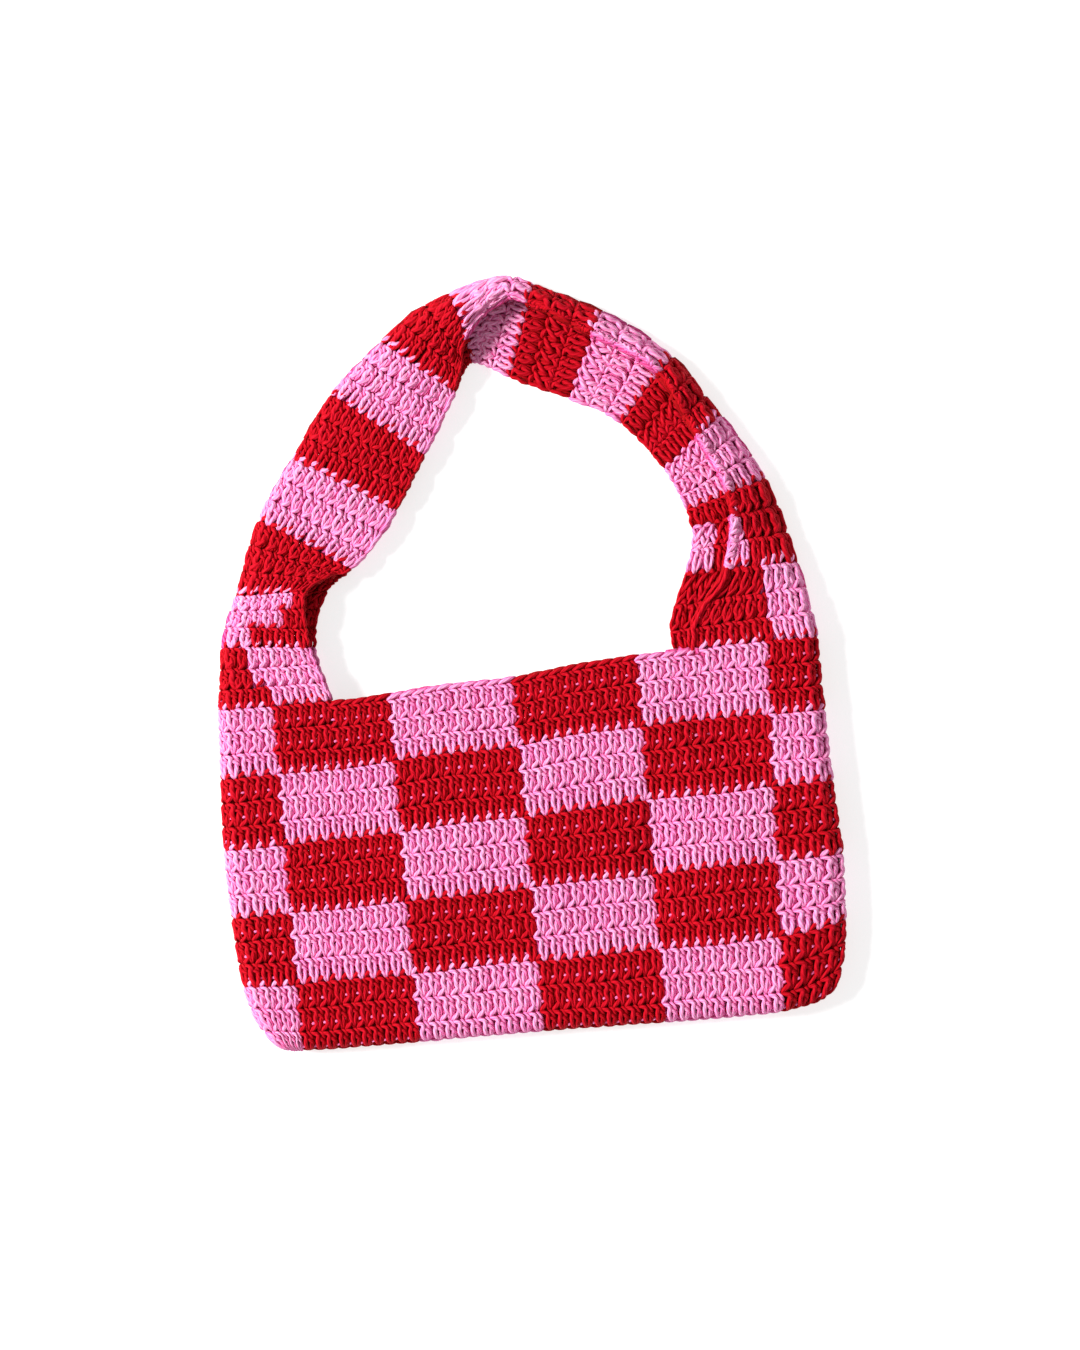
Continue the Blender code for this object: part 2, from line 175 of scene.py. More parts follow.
@dataclass
class PouchForm(Fabric):
    """Mid surface of the pouch: across counts checks from the left fold, along check rows."""

    half_width: float = (0.2775 - 0.0036) / 2
    height: float = 0.1606
    wall: float = 0.0036
    cavity: float = 0.0085
    base_reach: float = 0.0050
    rim_sag: float = 0.0026
    dent_depth: float = 0.0032
    swell: float = 0.0005
    swell_waves: tuple[float, float] = (47.0, 61.0)
    swell_starts: tuple[float, float] = (1.0, 0.4)
    shift: float = 0.0
    fold_of_stitches: float = 0.40
    fold_of_width: float = 0.30
    base_of_rounds: float = 0.26
    dents_fade_from: float = 4.0
    dents_fade_over: float = 0.8
    span: int = 5
    rows: int = 5
    rim_samples: int = 121
    sides: Sections = Sections(("row", "left", "right"), (
        (0.0, -0.846, 0.905), (0.2, -0.893, 0.948), (0.5, -0.943, 0.976), (1.0, -0.975, 0.990),
        (2.0, -0.993, 1.000), (3.0, -1.000, 0.989), (4.0, -0.990, 0.982), (5.0, -0.979, 0.978)))
    row_lines: Sections = Sections(("row", "left", "right"), (
        (0, 0.022, 0.003), (1, 0.206, 0.217), (2, 0.400, 0.435),
        (3, 0.592, 0.640), (4, 0.791, 0.842), (5, 0.984, 1.042)))
    columns: Sections = Sections(("check", "base", "rim"), (
        (0.5, -0.812, -0.812), (1.5, -0.430, -0.431), (2.5, -0.020, -0.020),
        (3.5, 0.380, 0.388), (4.5, 0.765, 0.820)))
    rim_line: Sections = Sections(("across", "drop"), (
        (-1.00, 0.0), (-0.62, 0.6), (-0.45, 0.5), (-0.26, -0.1), (-0.03, 0.3),
        (0.20, -0.8), (0.56, -0.9), (1.00, 0.0)))
    base_line: Sections = Sections(("across", "rise"), (
        (-1.00, 0.012), (-0.80, -0.004), (0.00, 0.000), (0.72, 0.001), (0.88, 0.022), (1.00, 0.072)))
    dents: Sections = Sections(("across", "up", "long", "wide", "turn", "depth"), (
        (0.390, 0.48, 0.24, 0.050, 84, 0.95), (0.660, 0.78, 0.20, 0.060, -42, 0.90),
        (0.930, 0.10, 0.15, 0.100, 60, 0.95), (0.800, 0.13, 0.16, 0.045, 68, -0.60),
        (-0.250, 0.45, 0.50, 0.200, 4, -0.45), (0.620, 0.42, 0.25, 0.090, 80, -0.45),
        (-0.620, 0.80, 0.25, 0.080, 12, 0.35), (0.100, 0.85, 0.30, 0.060, 3, 0.30)))

    def __post_init__(self) -> None:
        """Finds how far the frame's pouch is moved along Y, from the rim's highest point."""
        checks = np.linspace(0, self.span, self.rim_samples)
        rim = self.place(checks, np.full_like(checks, self.rows))
        self.shift = float(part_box("pouch")[1][1]) - float(rim[:, 1].max())

    def across(self, check: np.ndarray, row: np.ndarray) -> tuple[np.ndarray, np.ndarray]:
        """Follows a round of the fabric across the pouch and round its side folds.

        Args:
            check: places in checks from the left fold.
            row: places in rows from the base.

        Returns:
            The place across in metres, and the height share of the side folds.
        """
        left, right = self.sides.curve("left", row), self.sides.curve("right", row)
        up = row / self.rows
        base, rim = self.columns.column("base"), self.columns.column("rim")
        checks = self.columns.column("check")
        index = np.clip(np.floor(check - checks[0]).astype(int), 0, len(checks) - 2)
        share = check - checks[index]
        low = base[index] * (1 - share) + base[index + 1] * share
        high = rim[index] * (1 - share) + rim[index + 1] * share
        first = base[0] * (1 - up) + rim[0] * up
        last = base[-1] * (1 - up) + rim[-1] * up
        way_in, rise_in = turned(check / checks[0], self.fold_of_stitches, self.fold_of_width)
        back = (self.span - check) / (self.span - checks[-1])
        way_out, rise_out = turned(back, self.fold_of_stitches, self.fold_of_width)
        at = low * (1 - up) + high * up
        at = np.where(check < checks[0], left + (first - left) * way_in, at)
        at = np.where(check > checks[-1], right + (last - right) * way_out, at)
        rise = np.where(check < checks[0], rise_in, np.where(check > checks[-1], rise_out, 1.0))
        return at * self.half_width, rise

    def row_line(self, across: np.ndarray, row: np.ndarray) -> np.ndarray:
        """Height up the pouch of a row line.

        Args:
            across: places across the pouch, in metres.
            row: the row lines.

        Returns:
            Heights above the base, in metres.
        """
        side = (across / self.half_width + 1) / 2
        low, high = self.row_lines.line("left", row), self.row_lines.line("right", row)
        drop = self.rim_line.curve("drop", across / self.half_width)
        rise = self.base_line.curve("rise", across / self.half_width) * (1 - ease(row / 2))
        sag = self.rim_sag * drop * ease(row / self.rows) ** 3
        return (low * (1 - side) + high * side + rise) * self.height - sag

    def up(self, across: np.ndarray, row: np.ndarray) -> tuple[np.ndarray, np.ndarray]:
        """Follows a column of the fabric up the pouch, from under its base edge.

        Args:
            across: places across the pouch, in metres.
            row: places in rows from the base.

        Returns:
            The place up the pouch in metres, and the height share of the base edge.
        """
        nothing = np.zeros_like(row)
        base, first = self.row_line(across, nothing), self.row_line(across, nothing + 1)
        top = self.row_line(across, nothing + self.rows)
        under = self.row_line(across, nothing + self.rows - 1)
        over = np.maximum(row - self.rows, 0)
        way, rise = turned(row, self.base_of_rounds, self.base_reach / (first - base))
        low = base + self.wall / 2 + (first - base - self.wall / 2) * way
        high = self.row_line(across, np.clip(row, 1, self.rows)) + over * (top - under)
        return np.where(row < 1, low, high), np.where(row < 1, rise, 1.0)

    def dent(self, across: np.ndarray, up: np.ndarray) -> np.ndarray:
        """Depth of the front's dents.

        Args:
            across: places across the pouch, in metres.
            up: places up it, in metres.

        Returns:
            Depths below the plain front, in metres.
        """
        depth = np.zeros_like(across)
        for at, high, long, wide, turn, deep in self.dents.rows:
            cos, sin = math.cos(math.radians(turn)), math.sin(math.radians(turn))
            away_x, away_y = across - at * self.half_width, up - high * self.height
            along = (away_x * cos + away_y * sin) / (long * self.half_width)
            aside = (away_y * cos - away_x * sin) / (wide * self.half_width)
            depth += deep * self.dent_depth * np.exp(-along**2 - aside**2)
        return depth

    def place(self, across: np.ndarray, along: np.ndarray) -> np.ndarray:
        """Points of the mid surface, round the folds and under the base edge.

        Args:
            across: places in checks, on round the back after the right fold.
            along: places in rows from the base; below it they run on up the other wall.

        Returns:
            World positions.
        """
        under = along < 0
        check = np.mod(np.where(under, 2 * self.span - across, across), 2 * self.span)
        row = np.abs(along)
        front = check <= self.span
        check = np.where(front, check, 2 * self.span - check)
        x, fold = self.across(check, row)
        y, edge = self.up(x, row)
        back_level = self.wall / 2
        front_level = back_level + self.cavity + self.wall
        fold_level = (back_level + front_level) / 2
        fade = 1 - ease((row - self.dents_fade_from) / self.dents_fade_over)
        waves, starts = self.swell_waves, self.swell_starts
        swell = self.swell * np.sin(x * waves[0] + starts[0]) * np.sin(y * waves[1] + starts[1]) * fade
        level = np.where(front, front_level - self.dent(x, y) * fade + swell, back_level)
        z = fold_level + (level - fold_level) * fold * edge
        return np.stack([x, y + self.shift, z], axis=-1)


@dataclass
class StrapForm(Fabric):
    """Mid surface of the strap.

    Along counts stripes from the left base. Across runs from the upper layer's free edge (-1) over
    the fold (0) to the lower layer's free edge (1).
    """

    outward: float = -1.0
    pouch: PouchForm = field(default_factory=PouchForm)
    rise: float = 0.1822
    layer_gap: float = 0.0010
    fold_reach: float = 0.0062
    lift: float = 0.0105
    pucker: float = 0.0009
    join_gap: float = 0.0003
    blocks: int = 14
    blend: float = 1.6
    end_level: float = 1.2
    puckers: float = 1.5
    pucker_slant: float = 2.0
    fold_turns: tuple[float, float] = (0.8, 0.08)
    fold_most: float = 0.7
    lift_bend: float = 1.5
    crown_width: float = 1.1
    sections: Sections = Sections(
        ("block", "outer_x", "outer_y", "inner_x", "inner_y", "reach", "lift", "crown"), (
            (0.0, -0.979, -0.006, -0.624, -0.003, 1.00, 0.00, 0.00),
            (0.5, -0.966, 0.062, -0.655, 0.062, 1.00, 0.05, 0.05),
            (1.0, -0.951, 0.141, -0.672, 0.124, 0.97, 0.20, 0.10),
            (1.5, -0.926, 0.210, -0.657, 0.192, 0.90, 0.55, 0.15),
            (2.0, -0.895, 0.262, -0.617, 0.260, 0.80, 0.70, 0.15),
            (2.5, -0.851, 0.355, -0.577, 0.287, 0.92, 0.35, 0.15),
            (3.0, -0.799, 0.443, -0.529, 0.312, 1.00, 0.10, 0.10),
            (3.5, -0.739, 0.520, -0.447, 0.366, 1.00, 0.05, 0.10),
            (4.0, -0.672, 0.588, -0.364, 0.445, 1.00, 0.05, 0.15),
            (5.0, -0.528, 0.737, -0.255, 0.576, 1.00, 0.05, 0.15),
            (6.0, -0.352, 0.855, -0.138, 0.725, 1.00, 0.10, 0.25),
            (6.5, -0.240, 0.920, -0.096, 0.780, 0.96, 0.25, 0.40),
            (7.0, -0.115, 0.960, -0.066, 0.802, 0.74, 0.50, 0.55),
            (7.5, 0.062, 0.990, -0.015, 0.793, 0.26, 0.60, 0.50),
            (8.0, 0.160, 0.964, 0.064, 0.756, 0.20, 0.60, 0.45),
            (9.0, 0.374, 0.883, 0.255, 0.690, 0.28, 0.75, 0.35),
            (9.5, 0.486, 0.826, 0.345, 0.655, 0.26, 0.80, 0.30),
            (10.0, 0.590, 0.757, 0.420, 0.617, 0.27, 0.85, 0.30),
            (11.0, 0.732, 0.602, 0.548, 0.493, 0.44, 0.95, 0.30),
            (12.0, 0.858, 0.438, 0.609, 0.384, 0.50, 1.00, 0.30),
            (12.5, 0.904, 0.335, 0.620, 0.310, 0.60, 0.85, 0.25),
            (13.0, 0.935, 0.226, 0.578, 0.224, 0.66, 0.60, 0.20),
            (13.5, 0.961, 0.132, 0.510, 0.110, 0.82, 0.30, 0.10),
            (14.0, 0.978, 0.040, 0.505, 0.037, 0.87, 0.00, 0.00)))
    bases: Sections = Sections(("at", "fold", "front", "back"), (
        (0, 0, LEFT_BASE, LEFT_BASE), (14, 5, RIGHT_BASE_FRONT, RIGHT_BASE_BACK)))

    def free(self, side: np.ndarray, block: np.ndarray) -> np.ndarray:
        """Points of the band before its ends are led into the pouch's rim.

        Args:
            side: places from the upper free edge to the lower one, -1 to 1.
            block: places in stripes from the left base.

        Returns:
            World positions.
        """
        wall, scale = self.pouch.wall, {"x": self.pouch.half_width, "y": self.rise}
        outer, inner = ([self.sections.curve(f"{edge}_{axis}", block) * scale[axis] for axis in "xy"]
                        for edge in ("outer", "inner"))
        width = np.hypot(inner[0] - outer[0], inner[1] - outer[1])
        reach = np.where(side < 0, self.sections.curve("reach", block), 1.0)
        fold = np.minimum(self.fold_reach / (width * reach), self.fold_most)
        way, height = turned(np.abs(side), self.fold_turns[0] * fold + self.fold_turns[1], fold)
        level_ends = ease(np.minimum(block, self.blocks - block) / self.end_level)
        lift = self.sections.curve("lift", block) * np.abs(side) ** self.lift_bend
        over = np.minimum(np.abs(side) * self.crown_width, 1.0)
        crown = self.sections.curve("crown", block) * np.sin(math.pi * over)
        wave = 1 + np.sin(2 * math.pi * self.puckers * block + self.pucker_slant * side) * np.abs(side)
        top = wall / 2 + wall + self.layer_gap
        upper = top + (self.lift * (lift + crown) + self.pucker * wave) * level_ends
        level = np.where(side < 0, upper, wall / 2)
        middle = (wall / 2 + top) / 2
        x = outer[0] + (inner[0] - outer[0]) * way * reach
        y = outer[1] + (inner[1] - outer[1]) * way * reach
        z = middle + (level - middle) * height
        return np.stack([x, self.pouch.height + y + self.pouch.shift, z], axis=-1)

    def place(self, across: np.ndarray, along: np.ndarray) -> np.ndarray:
        """Points of the mid surface, led into the pouch's rim at both ends.

        Args:
            across: places from the upper free edge to the lower one, -1 to 1.
            along: places in stripes from the left base.

        Returns:
            World positions.
        """
        points = self.free(across, along)
        for at, fold, front, back in self.bases.rows:
            near = 1 - ease(np.abs(along - at) / self.blend)
            touched = near > 0
            side, end = across[touched], np.full(int(touched.sum()), float(at))
            span = np.where(side < 0, front, back) * np.abs(side)
            check = np.where(side < 0, np.abs(span - fold), np.where(fold == 0, -span, fold + span))
            rim = self.pouch.place(check, np.full_like(check, self.pouch.rows))
            rim[..., 1] += self.join_gap
            points[touched] += (rim - self.free(side, end)) * near[touched][..., None]
        return points


class Yarn(Enum):
    """The two yarns of the bag."""

    RED = "red"
    PINK = "pink"

    @property
    def other(self) -> "Yarn":
        """The yarn that is carried along inside this one's stitches."""
        return Yarn.PINK if self is Yarn.RED else Yarn.RED


@dataclass(frozen=True)
class Strand:
    """One visible run of yarn in a stitch: x, y, height and radius in millimetres at its bends."""

    path: tuple[tuple[float, float, float, float], ...]
    rings: int
    sides: int = 6


STITCH_WIDTH = 5.45
ROUND_HEIGHT = 10.1
"""Millimetres from one stitch, and from one round, to the next."""

CAP_AND_LEG = Strand(((-0.55, 0.30, -0.10, 0.45), (-0.10, 0.00, 0.85, 0.76), (1.10, -0.20, 1.25, 0.88),
                      (2.20, -0.55, 1.50, 0.96), (2.76, -1.30, 1.60, 1.04), (2.44, -2.40, 1.60, 1.06),
                      (2.14, -3.55, 1.50, 1.06), (2.22, -4.80, 1.45, 1.05), (2.60, -6.10, 1.35, 1.02),
                      (3.00, -7.30, 1.15, 0.96), (3.35, -8.50, 0.75, 0.84), (3.65, -9.80, -0.10, 0.45)), 13)
COMMA = Strand(((-0.55, 0.30, -0.10, 0.45), (-0.28, 0.90, 0.85, 0.74), (0.45, 1.60, 1.40, 0.94),
                (1.40, 2.30, 1.60, 0.98), (2.20, 3.10, 1.55, 0.90), (2.50, 4.05, 1.15, 0.66),
                (2.40, 5.00, 0.35, 0.36)), 7)
UPPER_LOOP = Strand(((3.00, 0.35, 0.20, 0.42), (3.80, 0.25, 1.00, 0.68), (4.65, -0.50, 1.25, 0.76),
                     (5.40, -1.75, 1.00, 0.70), (5.85, -2.90, 0.10, 0.45)), 5, 5)
INNER_LOOP = Strand(((3.10, -0.70, 0.40, 0.60), (4.20, -1.50, 0.60, 0.74), (5.20, -2.50, 0.30, 0.60)), 3, 5)
ARCH_AND_LEG = Strand(((2.50, -1.50, 0.60, 0.52), (3.15, -2.20, 1.25, 0.74), (4.20, -2.65, 1.35, 0.78),
                       (5.15, -3.20, 1.15, 0.78), (5.52, -4.20, 0.80, 0.82), (5.50, -5.60, 0.65, 0.84),
                       (5.25, -7.20, 0.55, 0.82), (4.75, -8.90, -0.10, 0.55)), 8, 5)
MIDDLE_LEG = Strand(((4.40, -3.20, 0.40, 0.50), (4.48, -4.20, 1.00, 0.80), (4.44, -5.50, 1.25, 0.92),
                     (4.24, -6.90, 1.20, 0.92), (3.98, -8.30, 0.90, 0.76), (3.75, -9.70, -0.10, 0.40)), 6, 5)
BACKING = (Strand(((1.10, -9.90, -0.95, 1.25), (0.80, -0.60, -0.95, 1.25)), 2, 4),
           Strand(((3.80, -9.90, -1.35, 1.25), (3.60, -0.60, -1.35, 1.25)), 2, 4),
           Strand(((-0.60, -0.10, -0.85, 1.25), (6.00, -0.10, -0.85, 1.25)), 2, 4))
RIGHT_SIDE = (CAP_AND_LEG, COMMA, UPPER_LOOP, INNER_LOOP, ARCH_AND_LEG, MIDDLE_LEG, *BACKING)
"""A double crochet as its right side shows it, with what shows through from behind."""

LEFT_OF_DROP = Strand(CAP_AND_LEG.path[:7] + ((2.15, -4.80, 1.50, 1.02), (2.32, -6.20, 1.60, 1.02),
                      (2.72, -7.60, 1.60, 0.98), (3.20, -8.80, 1.45, 0.90), (3.62, -9.80, 0.95, 0.55)), 13)
RIGHT_OF_DROP = Strand(((4.30, -2.90, 0.40, 0.50), (4.80, -4.10, 1.10, 0.82), (4.92, -5.50, 1.35, 0.94),
                        (4.76, -6.90, 1.50, 0.96), (4.40, -8.20, 1.50, 0.92), (3.98, -9.30, 1.20, 0.78),
                        (3.66, -10.00, 0.80, 0.40)), 7, 5)
BEHIND_DROP = Strand(((3.50, -3.40, -0.20, 0.90), (3.60, -9.20, -0.20, 0.90)), 2, 4)
ARCH = Strand(ARCH_AND_LEG.path[:5], 5, 5)
OVER_OTHER_YARN = (LEFT_OF_DROP, COMMA, UPPER_LOOP, INNER_LOOP, ARCH, RIGHT_OF_DROP, BEHIND_DROP, *BACKING)
"""The same stitch over a stripe of the other yarn, where its two legs close in a hanging drop."""

WRONG_SIDE = (
    Strand(((0.10, -6.60, 0.30, 0.60), (0.90, -4.70, 1.20, 0.92), (2.20, -2.90, 1.60, 1.02),
            (3.80, -1.30, 1.30, 0.94), (5.30, -0.20, 0.30, 0.60)), 6),
    Strand(((5.10, -9.80, 0.10, 0.60), (4.60, -8.00, 1.10, 0.92), (3.60, -6.10, 1.50, 1.00),
            (3.00, -4.40, 1.10, 0.85), (3.20, -3.10, 0.20, 0.55)), 6),
    Strand(((0.10, -10.2, 0.10, 0.60), (0.70, -8.80, 1.00, 0.88), (2.00, -8.20, 1.40, 0.96),
            (3.00, -8.90, 1.10, 0.84), (3.30, -10.4, 0.20, 0.55)), 6),
    Strand(((-0.60, 0.20, 0.20, 0.60), (0.70, 0.60, 1.00, 0.84), (2.20, 0.30, 1.30, 0.90),
            (3.40, -0.70, 0.60, 0.60)), 5),
    Strand(((4.60, -1.40, 0.20, 0.60), (5.00, -3.00, 0.90, 0.80), (5.30, -4.80, 0.90, 0.84),
            (5.60, -6.60, 0.20, 0.60)), 4),
    *BACKING,
)
"""The same stitch as its wrong side shows it: slanted bars, a bent post and the loops between them."""

TUCK = (Strand(((4.20, -9.80, -1.10, 1.30), (4.40, -5.00, -1.30, 1.50), (4.20, -0.40, -1.10, 1.30)), 3, 4),
        Strand(((1.50, -9.80, -1.10, 1.30), (1.20, -5.00, -1.30, 1.50), (1.50, -0.40, -1.10, 1.30)), 3, 4))
"""The strap's hidden tuck, of which only a little shows between the stitches over it."""

RIDGE = (
    Strand(((-1.20, -4.40, 0.20, 0.60), (-0.80, -3.40, 1.40, 0.96), (0.60, -2.20, 2.00, 1.06),
            (2.60, -1.20, 1.70, 0.92), (4.40, -0.80, 0.70, 0.55)), 6),
    Strand(((-1.30, -5.50, 0.20, 0.60), (-0.70, -5.30, 1.60, 1.00), (0.90, -5.00, 2.20, 1.10),
            (2.90, -5.20, 1.80, 0.96), (4.60, -5.30, 0.70, 0.60)), 6),
    Strand(((-1.20, -6.40, 0.20, 0.60), (-0.80, -7.40, 1.40, 0.96), (0.60, -8.40, 1.90, 1.06),
            (2.40, -9.40, 1.60, 0.92), (4.00, -10.0, 0.70, 0.55)), 6),
)
"""Where the upper layer's free edge stands up, the ends of its rows splay into a ridge."""

RIDGE_CORD = (Strand(((0.30, 1.60, 1.20, 0.60), (0.70, -0.60, 2.20, 0.96), (1.20, -3.60, 2.60, 1.06),
                      (1.00, -6.80, 2.60, 1.06), (0.60, -9.80, 2.30, 0.98), (1.00, -11.6, 1.20, 0.60)), 9),)
"""Down at the right base that ridge runs on as a single raised strand."""

RIM_FRONT = Strand(((-0.55, 0.30, -0.10, 0.45), (-0.28, 0.85, 0.85, 0.72), (0.80, 1.45, 1.35, 0.92),
                    (2.60, 2.00, 1.25, 1.00), (4.60, 2.40, 0.85, 0.94), (6.60, 2.70, 0.10, 0.55)), 8)
RIM_TOP = Strand(((-0.20, 2.05, -0.30, 0.50), (1.40, 2.55, 0.10, 0.75), (3.40, 2.85, 0.15, 0.80),
                  (5.40, 2.85, -0.20, 0.70), (6.80, 2.70, -0.70, 0.45)), 6)
RIM_BACK = Strand(((-0.50, 0.30, -0.20, 0.50), (-0.20, 1.05, -0.85, 0.65), (1.60, 1.80, -1.10, 0.80),
                   (4.00, 2.30, -0.90, 0.80), (6.40, 2.60, -0.20, 0.50)), 6)
BEHIND_RIM = Strand(((-0.60, 1.10, -0.40, 1.10), (6.00, 1.10, -0.40, 1.10)), 2, 4)
FOUNDATION = Strand(((-0.40, -0.30, 0.60, 0.60), (0.60, 0.05, 1.10, 0.80), (2.60, 0.35, 1.25, 0.90),
                     (4.60, 0.05, 1.10, 0.85), (5.80, -0.40, 0.50, 0.60)), 6)
BEHIND_FOUNDATION = Strand(((-0.60, 1.40, -0.60, 1.10), (2.70, 1.70, -0.70, 1.20),
                            (6.00, 1.40, -0.60, 1.10)), 3, 4)
TURNING_CHAIN = Strand(((-0.30, 0.80, 0.20, 0.60), (-1.00, -0.90, 0.90, 0.84), (-0.50, -3.60, 1.20, 0.88),
                        (-1.00, -6.40, 1.00, 0.88), (-0.30, -9.60, 0.20, 0.60)), 9)
CARRIED = {
    Yarn.PINK: Strand(((-0.40, -6.05, -0.40, 0.50), (0.35, -5.95, 0.50, 0.60), (0.95, -5.90, 0.95, 0.66),
                       (1.55, -6.00, 0.60, 0.60), (2.40, -6.10, -0.40, 0.50)), 5, 5),
    Yarn.RED: Strand(((-0.60, -5.60, -0.80, 0.60), (0.20, -5.30, -0.20, 0.80), (0.90, -4.70, 0.00, 0.95),
                      (1.90, -5.00, -0.30, 0.80), (2.80, -5.40, -0.80, 0.60)), 4, 4),
}
"""The other yarn where it shows between the posts: a dot in red work, a dark patch in pink."""


@dataclass
class Tubes:
    """Tubes of one stitch in its own cell, ready to be laid many times."""

    strands: tuple[Strand, ...]
    wobble: float
    fullness: float
    random: np.random.Generator
    wobble_ways: tuple[float, float, float] = (1.0, 1.0, 0.5)
    tip_length: float = 0.5
    yarn_start_mm: float = 10.0
    map_margin: float = 0.08
    tip_margin: float = 0.05
    points: np.ndarray = field(init=False)
    quads: np.ndarray = field(init=False)
    tips: np.ndarray = field(init=False)
    quad_yarn: np.ndarray = field(init=False)
    tip_yarn: np.ndarray = field(init=False)
    quad_map: np.ndarray = field(init=False)
    tip_map: np.ndarray = field(init=False)

    def __post_init__(self) -> None:
        """Builds every strand's rings and faces, and joins them."""
        made = [self.tube(strand, number) for number, strand in enumerate(self.strands)]
        starts = np.cumsum([0] + [len(tube["points"]) for tube in made[:-1]])
        for tube, start in zip(made, starts):
            tube["quads"] += start
            tube["tips"] += start
        for name in made[0]:
            setattr(self, name, np.concatenate([tube[name] for tube in made]))

    def centre_line(self, strand: Strand) -> np.ndarray:
        """Smooth line through a strand's bends.

        Args:
            strand: its bends.

        Returns:
            A row for each ring: x, y, height and radius.
        """
        bends = np.array(strand.path)
        bends[1:-1, :3] += self.random.normal(0, self.wobble, (len(bends) - 2, 3)) * self.wobble_ways
        table = Sections(("bend", "x", "y", "z", "r"), tuple((i, *bend) for i, bend in enumerate(bends)))
        at = np.linspace(0, len(bends) - 1, strand.rings)
        return np.stack([table.curve(name, at) for name in ("x", "y", "z", "r")], axis=-1)

    def tube(self, strand: Strand, number: int) -> dict[str, np.ndarray]:
        """Rings and faces of one strand.

        Args:
            strand: its bends.
            number: its place in the stitch, for its own strip of the bake's map.

        Returns:
            Points in millimetres, faces, and two maps for each face corner.
        """
        line = self.centre_line(strand)
        centre, radius = line[:, :3], line[:, 3] * self.fullness
        rings, sides = len(centre), strand.sides
        ahead = np.gradient(centre, axis=0)
        ahead /= np.linalg.norm(ahead, axis=1, keepdims=True)
        up = np.array((0.0, 0.0, 1.0))
        angles = 2 * math.pi * np.arange(sides)[:, None] / sides
        points = []
        for ring in range(rings):
            up = up - ahead[ring] * (up @ ahead[ring])
            up /= np.linalg.norm(up)
            spokes = np.cos(angles) * up + np.sin(angles) * np.cross(ahead[ring], up)
            points.append(centre[ring] + spokes * radius[ring])
        for end, away in ((0, -self.tip_length), (-1, self.tip_length)):
            points.append((centre[end] + ahead[end] * radius[end] * away)[None])
        turns = np.arange(sides)
        ring, turn = (way.ravel() for way in np.meshgrid(np.arange(rings - 1), turns, indexing="ij"))
        near, far, after = ring * sides, (ring + 1) * sides, (turn + 1) % sides
        nexts, last, tip = (turns + 1) % sides, (rings - 1) * sides, np.full(sides, rings * sides)
        length = np.concatenate([[0], np.cumsum(np.linalg.norm(np.diff(centre, axis=0), axis=1))])
        lengthwise = length[np.stack([ring, ring + 1, ring + 1, ring], -1)]
        around = np.stack([turn, turn, turn + 1, turn + 1], -1) / sides
        start = self.random.uniform(0, self.yarn_start_mm)
        tip_yarn = np.repeat([start, start + length[-1]], sides)[:, None] * np.ones(3)
        tip_share = np.repeat([(-self.tip_margin, 0.0, 0.0), (1 + self.tip_margin, 1.0, 1.0)], sides, axis=0)
        tip_around = np.stack([turns + 0.5, turns, turns + 1], -1) / sides
        tip_around = np.concatenate([tip_around, tip_around[:, [0, 2, 1]]])
        low = np.array((self.map_margin, (number + self.map_margin) / len(self.strands)))
        size = (1 - 2 * self.map_margin) / np.array((1, len(self.strands)))
        return {
            "points": np.concatenate(points),
            "quads": np.stack([near + turn, far + turn, far + after, near + after], -1),
            "tips": np.concatenate([np.stack([tip, turns, nexts], -1),
                                    np.stack([tip + 1, last + nexts, last + turns], -1)]),
            "quad_yarn": np.stack([lengthwise + start, around], -1),
            "tip_yarn": np.stack([tip_yarn, tip_around], -1),
            "quad_map": np.stack([lengthwise / length[-1], around], -1) * size + low,
            "tip_map": np.stack([tip_share, tip_around], -1) * size + low,
        }


@dataclass(frozen=True)
class Lie:
    """How a batch of stitches lies: the fabric's place of each cell's top left corner."""

    across: np.ndarray
    along: np.ndarray
    across_per_mm: np.ndarray
    along_per_mm: np.ndarray
    flipped: np.ndarray

    def only(self, chosen: np.ndarray) -> "Lie":
        """The chosen ones of these places."""
        return Lie(self.across[chosen], self.along[chosen], self.across_per_mm[chosen],
                   self.along_per_mm[chosen], self.flipped[chosen])

    def out_from_edges(self) -> "Lie":
        """Cells at the fabric's own edges, turned so that their left side is the edge."""
        edge = np.where(self.across + self.across_per_mm > 0, 1.0, -1.0)
        return Lie(edge, self.along, -edge * np.abs(self.across_per_mm), self.along_per_mm, self.flipped)


